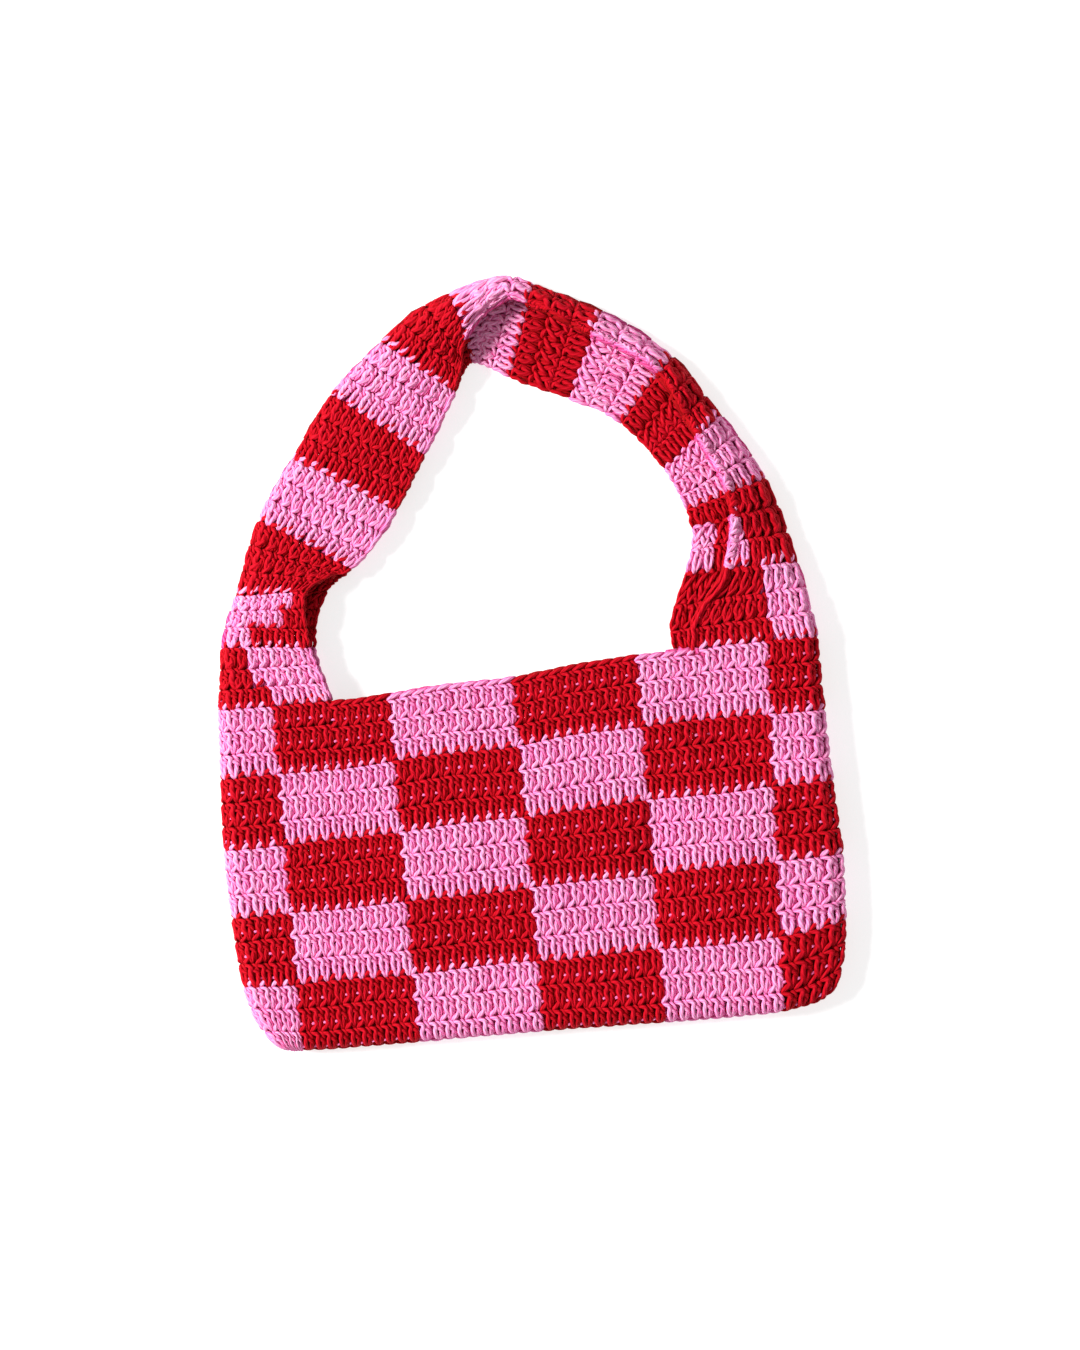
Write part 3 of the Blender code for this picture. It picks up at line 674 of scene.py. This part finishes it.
@dataclass
class YarnPiece:
    """A mesh of many yarn stitches in one colour."""

    name: str
    yarn: Yarn
    node: str
    loose: float = 1.0
    turn: float = 0.022
    growth: float = 0.018
    shift_mm: float = 0.09
    height_mm: float = 0.06
    # Height in the stitch sets the crown value, which paints shade low down and a highlight on top.
    crown_from: float = 0.1
    crown_height: float = 2.4
    batches: list[tuple[Tubes, np.ndarray, np.ndarray]] = field(default_factory=list)

    def lay(self, fabric: Fabric, tubes: Tubes, lie: Lie, random: np.random.Generator) -> None:
        """Lays one kind of stitch at many places of a fabric.

        Args:
            fabric: the bent sheet.
            tubes: the stitch.
            lie: the places.
            random: for each stitch's own small turn, size and shift.
        """
        number = len(lie.across)
        if not number:
            return
        pivot = np.array((STITCH_WIDTH / 2, -ROUND_HEIGHT / 2))
        turn = random.normal(0, self.turn * self.loose, number)[:, None]
        size = 1 + random.normal(0, self.growth * self.loose, number)[:, None]
        shift = random.normal(0, self.shift_mm * self.loose, (number, 2))
        x = (tubes.points[:, 0] - pivot[0])[None] * size
        y = (tubes.points[:, 1] - pivot[1])[None] * size
        x, y = x * np.cos(turn) - y * np.sin(turn), x * np.sin(turn) + y * np.cos(turn)
        x, y = x + pivot[0] + shift[:, :1], y + pivot[1] + shift[:, 1:]
        z = tubes.points[None, :, 2] + random.normal(0, self.height_mm * self.loose, number)[:, None]
        z = np.where(lie.flipped[:, None], -z, z)
        across = lie.across[:, None] + x * lie.across_per_mm[:, None]
        along = lie.along[:, None] + y * lie.along_per_mm[:, None]
        points = fabric.lay(across.ravel(), along.ravel(), z.ravel() * MM)
        self.batches.append((tubes, points, random.uniform(0, 1, number)))

    def faces(self) -> tuple[np.ndarray, np.ndarray]:
        """Joins the batches' faces.

        Returns:
            Vertex numbers of the faces with four corners, and of those with three.
        """
        quads, tips, count = [], [], 0
        for tubes, points, tints in self.batches:
            start = count + np.arange(len(tints))[:, None, None] * len(tubes.points)
            quads.append((tubes.quads[None] + start).reshape(-1, 4))
            tips.append((tubes.tips[None] + start).reshape(-1, 3))
            count += len(points)
        return np.concatenate(quads), np.concatenate(tips)

    def maps(self) -> dict[str, np.ndarray]:
        """Maps for every face corner.

        Returns:
            The yarn's own map in millimetres and turns, and one for a bake on which no two faces
            overlap: one square cell a stitch, one strip a strand.
        """
        grid = math.ceil(math.sqrt(sum(len(tints) for _, _, tints in self.batches)))
        yarn, bake, done = ([], []), ([], []), 0
        for tubes, _, tints in self.batches:
            index = done + np.arange(len(tints))
            corner = np.stack([index % grid, index // grid], -1)[:, None, None, :]
            faces = ((tubes.quad_yarn, tubes.quad_map), (tubes.tip_yarn, tubes.tip_map))
            for kind, (own, cell) in enumerate(faces):
                yarn[kind].append(np.tile(own, (len(tints), 1, 1)).reshape(-1, 2))
                bake[kind].append(((cell[None] + corner) / grid).reshape(-1, 2))
            done += len(tints)
        return {"Yarn": np.concatenate(yarn[0] + yarn[1]), "OFBake": np.concatenate(bake[0] + bake[1])}

    def shades(self) -> dict[str, np.ndarray]:
        """Values for every vertex.

        Returns:
            Each stitch's own tint, and how far a place is up to the crown of its yarn, which the material
            turns into painted shade low down and a painted highlight on top.
        """
        tints, crowns = [], []
        for tubes, _, own in self.batches:
            # Painted shade: places lower in their stitch get a lower crown value and so a darker colour.
            crown = np.clip(self.crown_from + tubes.points[:, 2] / self.crown_height, 0, 1)
            tints.append(np.repeat(own, len(tubes.points)))
            crowns.append(np.tile(crown, len(own)))
        return {"tint": np.concatenate(tints), "crown": np.concatenate(crowns)}

    def build(self, material: bpy.types.Material) -> None:
        """Makes the mesh and its object, and hangs it on the frame.

        Args:
            material: the yarn's finish.
        """
        mesh = bpy.data.meshes.new(self.name)
        vertices = np.concatenate([points for _, points, _ in self.batches]).astype(np.float32)
        quads, tips = self.faces()
        loops = np.concatenate([quads.ravel(), tips.ravel()]).astype(np.int32)
        starts = np.concatenate([np.arange(len(quads)) * 4, len(quads) * 4 + np.arange(len(tips)) * 3])
        mesh.vertices.add(len(vertices))
        mesh.vertices.foreach_set("co", vertices.ravel())
        mesh.loops.add(len(loops))
        mesh.loops.foreach_set("vertex_index", loops)
        mesh.polygons.add(len(starts))
        mesh.polygons.foreach_set("loop_start", starts.astype(np.int32))
        mesh.update(calc_edges=True)
        mesh.validate()
        mesh.shade_smooth()
        for name, values in self.maps().items():
            mesh.uv_layers.new(name=name).data.foreach_set("uv", values.astype(np.float32).ravel())
        for name, values in self.shades().items():
            mesh.attributes.new(name, "FLOAT", "POINT").data.foreach_set("value", values.astype(np.float32))
        mesh.materials.append(material)
        piece = bpy.data.objects.new(self.name, mesh)
        bpy.context.scene.collection.objects.link(piece)
        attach(piece, BODY)
        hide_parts(self.node)
        log.info("%s: %d triangles", self.name, 2 * len(quads) + len(tips))


def add_node(tree: bpy.types.NodeTree, kind: str, values: dict | None = None, links: dict | None = None,
             **settings: object) -> bpy.types.Node:
    """Adds a node with its settings, values and links.

    Args:
        tree: the node tree.
        kind: the node's type name.
        values: input names or numbers to set.
        links: input names or numbers to output sockets.
        **settings: attributes of the node.

    Returns:
        The new node.
    """
    node = tree.nodes.new(kind)
    for name, value in settings.items():
        setattr(node, name, value)
    for key, value in (values or {}).items():
        node.inputs[key].default_value = value
    for key, socket in (links or {}).items():
        tree.links.new(socket, node.inputs[key])
    return node


@dataclass(frozen=True)
class CottonYarn:
    """Soft-twist combed cotton, plied and crocheted: matt, with fine slanted plies and a faint fuzz."""

    name: str
    # groove is the painted shade colour, crown the painted highlight colour, and body the dye between them.
    groove: str
    body: str
    crown: str
    plies: int = 5
    twist_mm: float = 15.0
    fibre_mm: float = 0.35
    patch_mm: float = 14.0
    ply_range: tuple[float, float] = (-1.0, 0.7)
    weights: tuple[float, ...] = (0.44, 0.22, 0.16, 0.07, 0.10)
    # Shares in a place's colour of the crown value and the ply wave, which paint shade and highlight, and of
    # fibre, the stitch's own tint and wide patches.
    """Shares of crown, ply, fibre, the stitch's own tint and wide patches in a place's shade."""
    stops: tuple[float, float, float] = (0.15, 0.55, 0.92)
    roughness: tuple[float, float] = (0.74, 0.92)
    fibre_relief: float = 0.25
    relief_mm: float = 0.25
    relief_strength: float = 0.55
    sheen: float = 0.08
    sheen_roughness: float = 0.5
    specular: float = 0.12

    def material(self) -> bpy.types.Material:
        """Builds the yarn's material.

        Returns:
            A node material for the yarn.
        """
        material = bpy.data.materials.new(self.name)
        material.use_nodes = True
        tree = material.node_tree
        shader = tree.nodes["Principled BSDF"]
        lengthwise = add_node(tree, "ShaderNodeUVMap", uv_map="Yarn")
        parts = add_node(tree, "ShaderNodeSeparateXYZ", links={0: lengthwise.outputs[0]})
        # The plies run round the strand once in twist_mm. Their wave drives the bump and also paints the ply
        # grooves darker, a painted shade, which together give the slanted lines of light.
        turns = add_node(tree, "ShaderNodeMath", {1: 1 / self.twist_mm}, {0: parts.outputs[0]},
                         operation="MULTIPLY")
        places = add_node(tree, "ShaderNodeMath", links={0: turns.outputs[0], 1: parts.outputs[1]},
                          operation="ADD")
        phase = add_node(tree, "ShaderNodeMath", {1: 2 * math.pi * self.plies}, {0: places.outputs[0]},
                         operation="MULTIPLY")
        wave = add_node(tree, "ShaderNodeMath", links={0: phase.outputs[0]}, operation="SINE")
        low, high = self.ply_range
        ply = add_node(tree, "ShaderNodeMapRange", {1: low, 2: high, 3: 0.0, 4: 1.0}, {0: wave.outputs[0]})
        place = add_node(tree, "ShaderNodeTexCoord")
        fibres = add_node(tree, "ShaderNodeTexNoise", {"Scale": 1 / (self.fibre_mm * MM), "Detail": 2.0},
                          {"Vector": place.outputs["Object"]})
        patches = add_node(tree, "ShaderNodeTexNoise", {"Scale": 1 / (self.patch_mm * MM), "Detail": 1.0},
                           {"Vector": place.outputs["Object"]})
        tint = add_node(tree, "ShaderNodeAttribute", attribute_name="tint")
        # Painted shade and painted highlight: by the crown value the colour is painted darker low down
        # between the strands, where shade falls, and lighter up on their crowns.
        crown = add_node(tree, "ShaderNodeAttribute", attribute_name="crown")
        share = add_node(tree, "ShaderNodeMath", {1: self.weights[0], 2: 0.0}, {0: crown.outputs["Fac"]},
                         operation="MULTIPLY_ADD")
        sources = (ply.outputs[0], fibres.outputs[0], tint.outputs["Fac"], patches.outputs[0])
        for source, weight in zip(sources, self.weights[1:]):
            share = add_node(tree, "ShaderNodeMath", {1: weight}, {0: source, 2: share.outputs[0]},
                             operation="MULTIPLY_ADD")
        # Base colour: the yarn's real tone changes plus painted shade low down and a painted highlight on
        # the crowns.
        dye_and_painted_shade = add_node(tree, "ShaderNodeValToRGB", links={0: share.outputs[0]})
        ends = dye_and_painted_shade.color_ramp.elements
        for number, colour in ((0, self.groove), (1, self.crown)):
            ends[number].color = linear_colour(colour)
            ends[number].position = self.stops[2 * number]
        ends.new(self.stops[1]).color = linear_colour(self.body)
        tree.links.new(dye_and_painted_shade.outputs[0], shader.inputs["Base Color"])
        limits = dict(enumerate((*NOISE_RANGE, *self.roughness), start=1))
        rough = add_node(tree, "ShaderNodeMapRange", limits, {0: fibres.outputs[0]})
        tree.links.new(rough.outputs[0], shader.inputs["Roughness"])
        relief = add_node(tree, "ShaderNodeMath", {1: self.fibre_relief},
                          {0: fibres.outputs[0], 2: ply.outputs[0]}, operation="MULTIPLY_ADD")
        depth = {"Strength": self.relief_strength, "Distance": self.relief_mm * MM}
        bump = add_node(tree, "ShaderNodeBump", depth, {"Height": relief.outputs[0]})
        tree.links.new(bump.outputs[0], shader.inputs["Normal"])
        shader.inputs["Sheen Weight"].default_value = self.sheen
        shader.inputs["Sheen Roughness"].default_value = self.sheen_roughness
        shader.inputs["Sheen Tint"].default_value = linear_colour(self.crown)
        shader.inputs["Specular IOR Level"].default_value = self.specular
        return material


# Each yarn's first colour is its painted shade, its last a painted highlight, and the middle one its dye.
RED_COTTON = CottonYarn("red combed cotton, crocheted", "#940508", "#b40010", "#d20c28")
PINK_COTTON = CottonYarn("pink combed cotton, crocheted", "#ca1e6a", "#fa7abf", "#ffbedc")


@dataclass
class Crochet:
    """What the pouch and the strap share: their yarn pieces and their stitches' tubes."""

    random: np.random.Generator
    pieces: dict[tuple[str, Yarn], YarnPiece] = field(default_factory=dict)

    def piece(self, part: str, yarn: Yarn, node: str, loose: float = 1.0) -> YarnPiece:
        """The piece that holds a part's stitches in one yarn, made when first asked for.

        Args:
            part: the piece's name without its yarn.
            yarn: the yarn.
            node: the solid that the piece takes the place of.
            loose: how unevenly its stitches lie.

        Returns:
            The piece.
        """
        key = (part, yarn)
        if key not in self.pieces:
            self.pieces[key] = YarnPiece(f"{part}_{yarn.value}", yarn, node, loose)
        return self.pieces[key]

    def kinds(self, strands: tuple[Strand, ...], count: int, wobble: float = 0.07,
              fullness: float = 1.0) -> list[Tubes]:
        """Several hand-made versions of one stitch.

        Args:
            strands: its strands.
            count: how many versions.
            wobble: millimetres by which their bends differ.
            fullness: how plump the yarn is.

        Returns:
            The versions.
        """
        return [Tubes(strands, wobble, fullness, self.random) for _ in range(count)]

    def spread(self, piece: YarnPiece, fabric: Fabric, kinds: list[Tubes], lie: Lie) -> None:
        """Lays a batch of stitches, each in one of the versions.

        Args:
            piece: where they belong.
            fabric: the bent sheet under them.
            kinds: the versions.
            lie: their places.
        """
        chosen = self.random.integers(0, len(kinds), len(lie.across))
        for number, tubes in enumerate(kinds):
            own = chosen == number
            piece.lay(fabric, tubes, lie.only(own), self.random)

    def dress(self, finishes: dict[Yarn, bpy.types.Material]) -> None:
        """Builds every piece in its yarn."""
        for piece in self.pieces.values():
            piece.build(finishes[piece.yarn])


@dataclass
class Pouch:
    """The pouch: fifteen rounds of a hundred stitches, in checks."""

    form: PouchForm
    crochet: Crochet
    check_stitches: int = 10
    check_rounds: int = 3
    rim_braid: float = 0.10
    back_shift: float = 0.45
    braid_fade: float = 0.12
    slant: float = 0.012
    slant_waves: tuple[float, float] = (5.1, 3.0)
    well_inside: float = 0.2
    back_rings: float = 0.66
    back_sides: int = 5
    back_fullness: float = 1.2
    carried_seen: float = 0.85

    @property
    def half_stitch(self) -> float:
        """From a stitch's side to its middle, in checks."""
        return 0.5 / self.check_stitches

    def yarn_at(self, check: np.ndarray, row: np.ndarray) -> np.ndarray:
        """Colour of the checks.

        Args:
            check: places in checks from the left fold.
            row: places in rows from the base.
        """
        span, rows = self.form.span, self.form.rows
        column = np.floor(np.where(check > span, 2 * span - check, check) + 0.5).astype(int)
        return (column + rows - 1 - np.floor(row).astype(int)) % 2 == 0

    def into_free(self, check: np.ndarray) -> np.ndarray:
        """How far places are inside the free rim, away from the strap's bases.

        Args:
            check: places in checks from the left fold.

        Returns:
            Distances in checks, under 0 at the bases.
        """
        span = self.form.span
        turn = np.mod(check, 2 * span)
        side = np.where(turn <= span, turn, 2 * span - turn)
        last = np.where(turn <= span, RIGHT_BASE_FRONT, RIGHT_BASE_BACK)
        return np.minimum(side - LEFT_BASE, span - last - side)

    def is_free(self, check: np.ndarray) -> np.ndarray:
        """True for stitches whose top is the free rim."""
        return self.into_free(check + self.half_stitch) > 0

    def lowered(self, check: np.ndarray, row: np.ndarray) -> np.ndarray:
        """Makes room for the braid along the free rim.

        Args:
            check: places in checks from the left fold.
            row: places in rows from the base.

        Returns:
            The row places, lowered in the top check.
        """
        free = ease(self.into_free(check) / self.braid_fade + 1)
        top = self.form.rows - 1
        return np.where(row > top, top + (row - top) * (1 - self.rim_braid * free), row)

    def cells(self) -> tuple[np.ndarray, np.ndarray, np.ndarray]:
        """Every stitch of the pouch.

        Returns:
            Left places in checks, top places in rows, and whether the stitches are pink.
        """
        around = 2 * self.form.span * self.check_stitches
        stitch, number = np.meshgrid(np.arange(around), np.arange(self.form.rows * self.check_rounds))
        check = stitch.ravel() / self.check_stitches
        row = (number.ravel() + 1) / self.check_rounds
        pink = self.yarn_at(check + self.half_stitch, row - 0.5 / self.check_rounds)
        return check, row, pink

    def lie(self, check: np.ndarray, row: np.ndarray) -> Lie:
        """How stitches lie.

        Args:
            check: their left places in checks.
            row: their top places in rows.

        Returns:
            The cells' places and sizes.
        """
        top, bottom = self.lowered(check, row), self.lowered(check, row - 1 / self.check_rounds)
        check = check + np.where(check >= self.form.span, self.back_shift / self.check_stitches, 0.0)
        slant = self.slant * np.sin(check * self.slant_waves[0] + row * self.slant_waves[1])
        each = np.full_like(check, 1 / (self.check_stitches * STITCH_WIDTH))
        return Lie(check, top + slant, each, (top - bottom) / ROUND_HEIGHT, np.zeros(len(check), bool))

    def build(self) -> None:
        """Lays the stitches, the carried yarn, the rim's braid and the foundation."""
        fine = self.crochet.kinds(RIGHT_SIDE, 6)
        over_other = self.crochet.kinds(OVER_OTHER_YARN, 6)
        topmost = self.crochet.kinds(tuple(s for s in RIGHT_SIDE if s is not COMMA), 4)
        fewer = tuple(Strand(strand.path, round(strand.rings * self.back_rings), self.back_sides)
                      for strand in (CAP_AND_LEG, COMMA, ARCH_AND_LEG, MIDDLE_LEG))
        plain = self.crochet.kinds((*fewer, *BACKING), 4, fullness=self.back_fullness)
        check, row, pink = self.cells()
        front = check < self.form.span
        lowest = np.isclose(np.mod(row * self.check_rounds, self.check_rounds), 1) & (row > 1)
        braided = np.isclose(row, self.form.rows) & self.is_free(check)
        for yarn in Yarn:
            own = pink == (yarn is Yarn.PINK)
            for part, kinds, drops, here in (("pouch_front", fine, over_other, front),
                                             ("pouch_back", plain, plain, ~front)):
                piece = self.crochet.piece(part, yarn, "pouch")
                for chosen, where in ((kinds, ~braided & ~lowest), (drops, lowest), (topmost, braided)):
                    where = where & own & here
                    self.crochet.spread(piece, self.form, chosen, self.lie(check[where], row[where]))
            carried = self.crochet.kinds((CARRIED[yarn],), 4, wobble=0.15)
            seen = ~own & (self.crochet.random.uniform(0, 1, len(own)) < self.carried_seen)
            piece = self.crochet.piece("pouch_carried_yarn", yarn, "pouch")
            self.crochet.spread(piece, self.form, carried, self.lie(check[seen], row[seen]))
            self.build_edges(yarn)

    def build_edges(self, yarn: Yarn) -> None:
        """Lays the braid along the free rim and the foundation along the base.

        Args:
            yarn: the yarn whose checks are edged.
        """
        check = np.arange(2 * self.form.span * self.check_stitches) / self.check_stitches
        top, base = np.full_like(check, float(self.form.rows)), np.zeros_like(check)
        pink = yarn is Yarn.PINK
        edge = self.crochet.piece("pouch_edges", yarn, "pouch")
        own = self.is_free(check) & (self.yarn_at(check + self.half_stitch, top - self.well_inside) == pink)
        rim = self.crochet.kinds((RIM_FRONT, RIM_TOP, RIM_BACK, BEHIND_RIM), 4, wobble=0.05)
        self.crochet.spread(edge, self.form, rim, self.lie(check[own], top[own]))
        own = self.yarn_at(check + self.half_stitch, base + self.well_inside) == pink
        own &= check < self.form.span
        check, base = check[own], base[own]
        each = np.full_like(check, 1 / (self.check_stitches * STITCH_WIDTH))
        along = np.full_like(check, 1 / (self.check_rounds * ROUND_HEIGHT))
        lie = Lie(check, base, each, along, np.zeros(len(check), bool))
        self.crochet.spread(edge, self.form, self.crochet.kinds((FOUNDATION, BEHIND_FOUNDATION), 4), lie)


@dataclass
class Strap:
    """The strap: forty-two rows worked flat, so that every other row shows its wrong side."""

    form: StrapForm
    crochet: Crochet
    rows_per_block: int = 3
    pitch: float = 5.0
    seam_row: int = 22
    fewest: int = 6
    base_blocks: int = 2
    length_steps: int = 40
    loose: float = 1.6
    fullness: float = 1.10
    wrong_side_more: float = 0.1
    tucked: tuple[float, float] = (0.6, 13.9)
    pink_edge: Sections = Sections(("block", "front", "back"), (
        (0.0, 0.50, 0.50), (1.0, 0.26, 0.50), (1.2, 0.34, 0.52), (1.5, 0.68, 0.55), (2.0, 0.95, 0.60),
        (12.3, 1.00, 1.00), (12.4, 0.85, 0.80), (13.0, 0.66, 0.72), (13.1, 0.58, 0.52),
        (13.5, 0.42, 0.48), (14.0, 0.46, 0.42)))
    ridge: tuple[float, float] = (7.9, 13.1)

    def half_lengths(self, block: float) -> tuple[float, float]:
        """Measures the fabric in the upper and in the lower layer.

        Args:
            block: the place in stripes from the left base.

        Returns:
            Both lengths in millimetres.
        """
        found = []
        for end in (-1.0, 1.0):
            side = np.linspace(0, end, self.length_steps)
            points = self.form.place(side, np.full_like(side, block))
            found.append(float(np.linalg.norm(np.diff(points, axis=0), axis=1).sum()) / MM)
        return found[0], found[1]

    def is_pink(self, block: np.ndarray, side: np.ndarray) -> np.ndarray:
        """Colour of the stripes; the pouch's checks are carried on near both bases.

        Args:
            block: places in stripes from the left base.
            side: places from the upper free edge to the lower one.

        Returns:
            True where the stripe is pink.
        """
        number = np.floor(block).astype(int)
        at_base = (number < self.base_blocks) | (number >= self.form.blocks - self.base_blocks)
        edge = np.where(side < 0, self.pink_edge.line("front", block), self.pink_edge.line("back", block))
        return (number % 2 == 1) != (at_base & (np.abs(side) > edge))

    def row(self, number: int) -> tuple[np.ndarray, np.ndarray, Lie]:
        """Stitches of one row.

        Args:
            number: the row, counted from the left base.

        Returns:
            The middle block and side of each stitch, and how they lie: the side that is seen from
            above is out of the cloth in the upper layer and inside the fold in the lower one.
        """
        block = (number + 0.5) / self.rows_per_block
        upper, lower = self.half_lengths(block)
        total = max(self.fewest, round((upper + lower) / self.pitch))
        fold = total * upper / (upper + lower)
        first = np.arange(total)
        knots = (np.array((0.0, fold, float(total))), np.array((-1.0, 0.0, 1.0)))
        middle = np.interp(first + 0.5, *knots)
        inside = first + 0.5 > fold
        leftward = (number < self.seam_row) == inside
        start = np.where(leftward, first, first + 1.0)
        across = np.where(start <= fold, start / fold - 1, (start - fold) / (total - fold))
        per_stitch = np.where(inside, 1 / (total - fold), 1 / fold)
        sign = 1.0 if number >= self.seam_row else -1.0
        top = number if number >= self.seam_row else number + 1
        along = np.full(total, top / self.rows_per_block)
        rise = np.full(total, -sign / (self.rows_per_block * ROUND_HEIGHT))
        lie = Lie(across, along, np.where(leftward, 1.0, -1.0) * per_stitch / STITCH_WIDTH, rise, inside)
        return np.full(total, block), middle, lie

    def build(self) -> None:
        """Lays every row's stitches, and the turning chains along both edges."""
        full = self.fullness
        right = self.crochet.kinds(RIGHT_SIDE, 8, wobble=0.14, fullness=full)
        over_other = self.crochet.kinds(OVER_OTHER_YARN, 8, wobble=0.14, fullness=full)
        wrong = self.crochet.kinds(WRONG_SIDE, 8, wobble=0.30, fullness=full + self.wrong_side_more)
        chain = self.crochet.kinds((TURNING_CHAIN,), 6, wobble=0.16, fullness=full)
        tuck = self.crochet.kinds(TUCK, 4, wobble=0.2, fullness=full)
        ridge = self.crochet.kinds(RIDGE, 6, wobble=0.35, fullness=full)
        cord = self.crochet.kinds(RIDGE_CORD, 3, wobble=0.15, fullness=full)
        for number in range(self.form.blocks * self.rows_per_block):
            block, side, lie = self.row(number)
            pink = self.is_pink(block, side)
            lowest_row = 0 if number < self.seam_row else self.rows_per_block - 1
            lowest = number % self.rows_per_block == lowest_row
            for yarn in Yarn:
                piece = self.crochet.piece("strap", yarn, "strap", self.loose)
                own = pink == (yarn is Yarn.PINK)
                shows_right = ~lie.flipped | (number % 2 == 0) | lowest
                for kinds, here in ((over_other if lowest else right, shows_right), (wrong, ~shows_right)):
                    self.crochet.spread(piece, self.form, kinds, lie.only(own & here))
                if self.tucked[0] <= block[0] <= self.tucked[1]:
                    self.crochet.spread(piece, self.form, tuck, lie.only(own & lie.flipped))
                ends = np.zeros(len(side), bool)
                ends[[0, -1]] = True
                self.crochet.spread(piece, self.form, chain, lie.only(own & ends).out_from_edges())
                if block[0] >= self.ridge[0]:
                    stands = ridge if block[0] <= self.ridge[1] else cord
                    edge = lie.only(own & (side < side[1])).out_from_edges()
                    self.crochet.spread(piece, self.form, stands, edge)


@dataclass
class Studio:
    """Pale floor, soft light and the camera at the photograph's angle."""

    millimetres_per_pixel: float = 0.45
    frame_height: int = 1350
    distance: float = 1.10
    level: float = 0.010
    aim: tuple[float, float] = (0.0097, -0.0095)
    roll: float = -5.0
    sensor: float = 36.0
    floor_reach: float = 12.0
    paper: tuple[str, str] = ("#bcbcbc", "#c4c4c4")
    paper_grain_mm: float = 0.9
    paper_roughness: float = 0.9
    paper_glow: float = 0.70
    lamp_place: tuple[float, float, float] = (-2.25, 0.65, 1.85)
    lamp_size: float = 0.6
    lamp_watts: float = 135.0
    room_light: float = 0.40

    def floor(self) -> None:
        """A plain pale paper floor."""
        mesh = bpy.data.meshes.new("floor")
        reach = self.floor_reach
        corners = [(-reach, -reach, 0), (reach, -reach, 0), (reach, reach, 0), (-reach, reach, 0)]
        mesh.from_pydata(corners, [], [(0, 1, 2, 3)])
        plate = bpy.data.objects.new("floor", mesh)
        bpy.context.scene.collection.objects.link(plate)
        paper = bpy.data.materials.new("white paper, matt")
        paper.use_nodes = True
        shader = paper.node_tree.nodes["Principled BSDF"]
        place = add_node(paper.node_tree, "ShaderNodeTexCoord")
        grain = add_node(paper.node_tree, "ShaderNodeTexNoise", {"Scale": 1 / (self.paper_grain_mm * MM)},
                         {"Vector": place.outputs["Object"]})
        shade = add_node(paper.node_tree, "ShaderNodeValToRGB", links={0: grain.outputs[0]})
        for end, colour in zip(shade.color_ramp.elements, self.paper):
            end.color = linear_colour(colour)
        paper.node_tree.links.new(shade.outputs[0], shader.inputs["Base Color"])
        shader.inputs["Roughness"].default_value = self.paper_roughness
        # The sheet lies on a light table, so that shadows on it are faint, as in a catalogue picture.
        shader.inputs["Emission Color"].default_value = (1, 1, 1, 1)
        shader.inputs["Emission Strength"].default_value = self.paper_glow
        mesh.materials.append(paper)

    def light(self) -> None:
        """One soft square lamp that points at the bag, and an even light from all round."""
        lamp = bpy.data.lights.new("key light", "AREA")
        lamp.size = self.lamp_size
        lamp.energy = self.lamp_watts
        holder = bpy.data.objects.new("key light", lamp)
        holder.location = self.lamp_place
        holder.rotation_euler = (-Vector(self.lamp_place)).to_track_quat("-Z", "Y").to_euler()
        bpy.context.scene.collection.objects.link(holder)
        world = bpy.data.worlds.new("soft room light")
        world.use_nodes = True
        world.node_tree.nodes["Background"].inputs["Color"].default_value = (1, 1, 1, 1)
        world.node_tree.nodes["Background"].inputs["Strength"].default_value = self.room_light
        bpy.context.scene.world = world

    def camera(self) -> None:
        """Looks straight down, turned as the photograph is."""
        data = bpy.data.cameras.new("camera")
        data.sensor_width = self.sensor
        data.lens = self.sensor * self.distance / (self.frame_height * self.millimetres_per_pixel * MM)
        holder = bpy.data.objects.new("camera", data)
        holder.location = (*self.aim, self.distance + self.level)
        holder.rotation_euler = (0, 0, math.radians(self.roll))
        bpy.context.scene.collection.objects.link(holder)
        bpy.context.scene.camera = holder

    def build(self) -> None:
        """Sets the stage."""
        self.floor()
        self.light()
        bpy.context.scene.view_settings.view_transform = "Standard"
        self.camera()


def main() -> None:
    """Builds the bag's pieces in order and sets the stage."""
    logging.basicConfig(level=logging.INFO, format="%(name)s: %(message)s")
    crochet = Crochet(np.random.default_rng(SEED))
    pouch_form = PouchForm()
    Pouch(pouch_form, crochet).build()
    Strap(StrapForm(pouch=pouch_form), crochet).build()
    crochet.dress({Yarn.RED: RED_COTTON.material(), Yarn.PINK: PINK_COTTON.material()})
    Studio().build()


if __name__ == "__main__":
    main()
